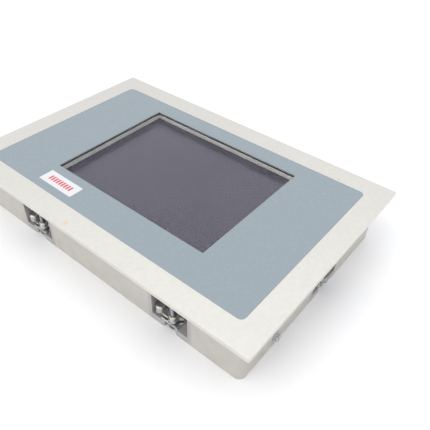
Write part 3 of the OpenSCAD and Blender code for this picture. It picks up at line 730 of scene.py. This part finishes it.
for clamp in CLAMPS:
    screw_low, screw_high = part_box(f"clamp_screw_{clamp}")
    axis = (screw_low + screw_high) / 2
    softened(f"clamp_screw_{clamp}", 0.12 * MM, 2, drawn_in(axis))
    softened(f"clamp_nut_{clamp}", 0.12 * MM)
    softened(f"clamp_lever_{clamp}", 0.3 * MM, 3)
    thread_foot = COLLAR_TOP + THREAD_END_GAP
    turns = (screw_high.z - THREAD_END_GAP - thread_foot) / PITCH
    values = {"Turns": turns, "Place": (axis.x, axis.y, thread_foot),
              "Finish": FINISHES["clamp_steel"].material}
    thread = grown(f"clamp_thread_{clamp}", thread_tree, thread_ids, values,
                   f"screw_{clamp}")
    print(thread.name, round(turns, 1), "turns,", len(thread.data.polygons), "faces")

# %% [markdown]
# ## The label and its printed marks
# The label is a thin white film with a row of red printed marks. Print has almost
# no height, but a hundredth of a millimetre is enough for a clean outline. The
# marks are plain round-ended bars, so they say nothing. One bar is drawn once and
# set out in a row by Geometry Nodes, where the count and the gaps are inputs.

# %% Label film
INK_HEIGHT = 0.02 * MM
label_low, label_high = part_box("label_plate")


def thinned(mesh):
    """Lower the film's top face to leave room for the ink inside the CAD box."""
    for vertex in mesh.vertices:
        if vertex.co.z > label_high.z - MERGE_WITHIN:
            vertex.co.z -= INK_HEIGHT


softened("label_plate", 0.03 * MM, 2, thinned)
print("label", [round(v / MM, 2) for v in label_high - label_low], "mm")

# %% A tree for a row of printed bars
CORNER_PER_WIDTH = 0.42
mark_tree, start, mark_ids = shape_tree("printed_bars", {
    "Count": ("NodeSocketInt", 8), "Step": number(2.0 * MM), "Bar": triple((1, 1, 1)),
    "First": triple((0, 0, 0)), "Finish": finish_input()})
bar = add(mark_tree, "ShaderNodeSeparateXYZ", {0: start.outputs["Bar"]})
outline = add(mark_tree, "GeometryNodeCurvePrimitiveQuadrilateral",
              {"Width": bar.outputs["X"], "Height": bar.outputs["Y"]})
corner = calculate(mark_tree, "MULTIPLY", bar.outputs["X"], CORNER_PER_WIDTH)
rounded = add(mark_tree, "GeometryNodeFilletCurve",
              {"Curve": outline.outputs[0], "Radius": corner, "Count": 5}, mode="POLY")
face = add(mark_tree, "GeometryNodeFillCurve", {"Curve": rounded.outputs[0]}, mode="NGONS")
raised = add(mark_tree, "GeometryNodeExtrudeMesh",
             {"Mesh": face.outputs[0], "Offset Scale": bar.outputs["Z"], "Individual": False})
underside = add(mark_tree, "GeometryNodeFlipFaces", {"Mesh": face.outputs[0]})
both = add(mark_tree, "GeometryNodeJoinGeometry", {0: raised.outputs[0]})
mark_tree.links.new(underside.outputs[0], both.inputs[0])
solid = add(mark_tree, "GeometryNodeMergeByDistance",
            {"Geometry": both.outputs[0], "Distance": 0.0005 * MM})
stride = add(mark_tree, "ShaderNodeCombineXYZ", {0: start.outputs["Step"]})
row = add(mark_tree, "GeometryNodeMeshLine",
          {"Count": start.outputs["Count"], "Start Location": start.outputs["First"],
           "Offset": stride.outputs[0]})
repeated = add(mark_tree, "GeometryNodeInstanceOnPoints",
               {"Points": row.outputs[0], "Instance": solid.outputs[0]})
end_tree(mark_tree, start, repeated.outputs[0])

BARS = 9
BAR_STEP_SHARE = 0.078
BAR_WIDTH_SHARE = 0.62
BAR_HEIGHT_SHARE = 0.40
BAR_THICK = INK_HEIGHT * 1.5
label_size = label_high - label_low
label_centre = (label_low + label_high) / 2
bar_step = label_size.x * BAR_STEP_SHARE
bar_values = {
    "Count": BARS, "Step": bar_step,
    "Bar": (bar_step * BAR_WIDTH_SHARE, label_size.y * BAR_HEIGHT_SHARE, BAR_THICK),
    "First": (label_centre.x - bar_step * (BARS - 1) / 2, label_centre.y,
              label_high.z - BAR_THICK),
    "Finish": FINISHES["label_ink"].material}
marks = grown("label_marks", mark_tree, mark_ids, bar_values, "frame", smooth=False)
print("marks:", BARS, "bars,", len(marks.data.polygons), "faces")

# %% [markdown]
# ## Sockets at the rear
# A socket is recognised by what is inside it. The two network sockets have a dark
# insert with eight sprung wires, and the two USB sockets a tongue with four flat
# contacts. The wires are a short bent curve with a round profile, repeated in a row,
# and the flat contacts reuse the tree of printed bars, because they are bars too.

# %% Find the separate sockets
def solid_boxes(node):
    """The boxes of a node's separate solids, from left to right."""
    work = bmesh.new()
    work.from_mesh(NODES[node].data)
    bmesh.ops.remove_doubles(work, verts=work.verts, dist=MERGE_WITHIN)
    unseen = set(work.verts)
    boxes = []
    while unseen:
        front = [unseen.pop()]
        found = list(front)
        while front:
            near = {e.other_vert(v) for v in front for e in v.link_edges} & unseen
            unseen -= near
            found += near
            front = list(near)
        corners = [v.co for v in found]
        boxes.append((Vector(map(min, *corners)), Vector(map(max, *corners))))
    work.free()
    return sorted(boxes, key=lambda pair: pair[0].x)


network_boxes = solid_boxes("ethernet_sockets")
usb_boxes = solid_boxes("usb_sockets")
print(len(network_boxes), "network sockets,", len(usb_boxes), "USB sockets")

# %% A tree for a row of sprung wires
BEND_ACROSS = 0.9
BEND_ALONG = 0.15
wire_tree, start, wire_ids = shape_tree("sprung_wires", {
    "Count": ("NodeSocketInt", 8), "Step": number(1.02 * MM), "Radius": number(0.2 * MM),
    "Reach": triple((0, 0, 0)), "First": triple((0, 0, 0)), "Finish": finish_input()})
reach = add(wire_tree, "ShaderNodeSeparateXYZ", {0: start.outputs["Reach"]})
bend = add(wire_tree, "ShaderNodeCombineXYZ",
           {1: calculate(wire_tree, "MULTIPLY", reach.outputs["Y"], BEND_ACROSS),
            2: calculate(wire_tree, "MULTIPLY", reach.outputs["Z"], BEND_ALONG)})
tip = add(wire_tree, "ShaderNodeCombineXYZ", {1: reach.outputs["Y"], 2: reach.outputs["Z"]})
path = add(wire_tree, "GeometryNodeCurveQuadraticBezier",
           {"Resolution": 10, "Start": (0, 0, 0), "Middle": bend.outputs[0],
            "End": tip.outputs[0]})
ring = add(wire_tree, "GeometryNodeCurvePrimitiveCircle",
           {"Resolution": 8, "Radius": start.outputs["Radius"]})
wire = add(wire_tree, "GeometryNodeCurveToMesh",
           {"Curve": path.outputs[0], "Profile Curve": ring.outputs[0], "Fill Caps": True})
stride = add(wire_tree, "ShaderNodeCombineXYZ", {0: start.outputs["Step"]})
row = add(wire_tree, "GeometryNodeMeshLine",
          {"Count": start.outputs["Count"], "Start Location": start.outputs["First"],
           "Offset": stride.outputs[0]})
repeated = add(wire_tree, "GeometryNodeInstanceOnPoints",
               {"Points": row.outputs[0], "Instance": wire.outputs[0]})
end_tree(wire_tree, start, repeated.outputs[0])

WIRES = 8
WIRE_STEP = 1.02 * MM
WIRE_LENGTH = 6.5 * MM
WIRE_SPRUNG_SHARE = 0.42
WIRE_FROM_WALL = 1.8 * MM + 0.3 * MM
WIRE_FROM_MOUTH = 2.2 * MM
for place, (low, high) in enumerate(network_boxes, 1):
    middle = (low + high) / 2
    values = {
        "Count": WIRES, "Step": WIRE_STEP,
        "Reach": (0, (high.y - low.y) * WIRE_SPRUNG_SHARE, WIRE_LENGTH),
        "First": (middle.x - WIRE_STEP * (WIRES - 1) / 2, low.y + WIRE_FROM_WALL,
                  low.z + WIRE_FROM_MOUTH),
        "Finish": FINISHES["contact_gilt"].material}
    wires = grown(f"network_wires_{place}", wire_tree, wire_ids, values, "frame")
    print(wires.name, len(wires.data.polygons), "faces")

# %% USB tongues and their contacts
def soft_block(name, low, high, width, finish_name):
    """A block with rounded edges between two corners."""
    mesh = bpy.data.meshes.new(name)
    work = bmesh.new()
    bmesh.ops.create_cube(work, size=1.0)
    size = high - low
    for vertex in work.verts:
        vertex.co = (low + high) / 2 + Vector(v * s for v, s in zip(vertex.co, size))
    work.to_mesh(mesh)
    work.free()
    piece = rounded_edges(new_object(name, mesh), width, 2)
    piece.data.materials.append(FINISHES[finish_name].material)
    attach(piece, "frame")
    return piece


TONGUE_T = 1.8 * MM
TONGUE_SIDE_GAP = 1.1 * MM
TONGUE_BACK_GAP = 1.0 * MM
TONGUE_FROM_MOUTH = 1.2 * MM
TONGUE_FROM_BASE = 1.6 * MM
TONGUE_EDGE = 0.15 * MM
CONTACTS = 4
CONTACT_STEP = 2.3 * MM
CONTACT_SIZE = (1.0 * MM, 0.3 * MM, 5.5 * MM)
CONTACT_FROM_TIP = 0.6 * MM
for place, (low, high) in enumerate(usb_boxes, 1):
    middle = (low + high) / 2
    back = high.y - TONGUE_BACK_GAP
    tongue_low = Vector((low.x + TONGUE_SIDE_GAP, back - TONGUE_T, low.z + TONGUE_FROM_MOUTH))
    tongue_high = Vector((high.x - TONGUE_SIDE_GAP, back, high.z - TONGUE_FROM_BASE))
    soft_block(f"usb_tongue_{place}", tongue_low, tongue_high, TONGUE_EDGE, "socket_insert")
    values = {
        "Count": CONTACTS, "Step": CONTACT_STEP, "Bar": CONTACT_SIZE,
        "First": (middle.x - CONTACT_STEP * (CONTACTS - 1) / 2, tongue_low.y,
                  tongue_low.z + CONTACT_FROM_TIP),
        "Finish": FINISHES["contact_gilt"].material}
    grown(f"usb_contacts_{place}", mark_tree, mark_ids, values, "frame",
          smooth=False)
print("USB tongues with", CONTACTS, "contacts each")
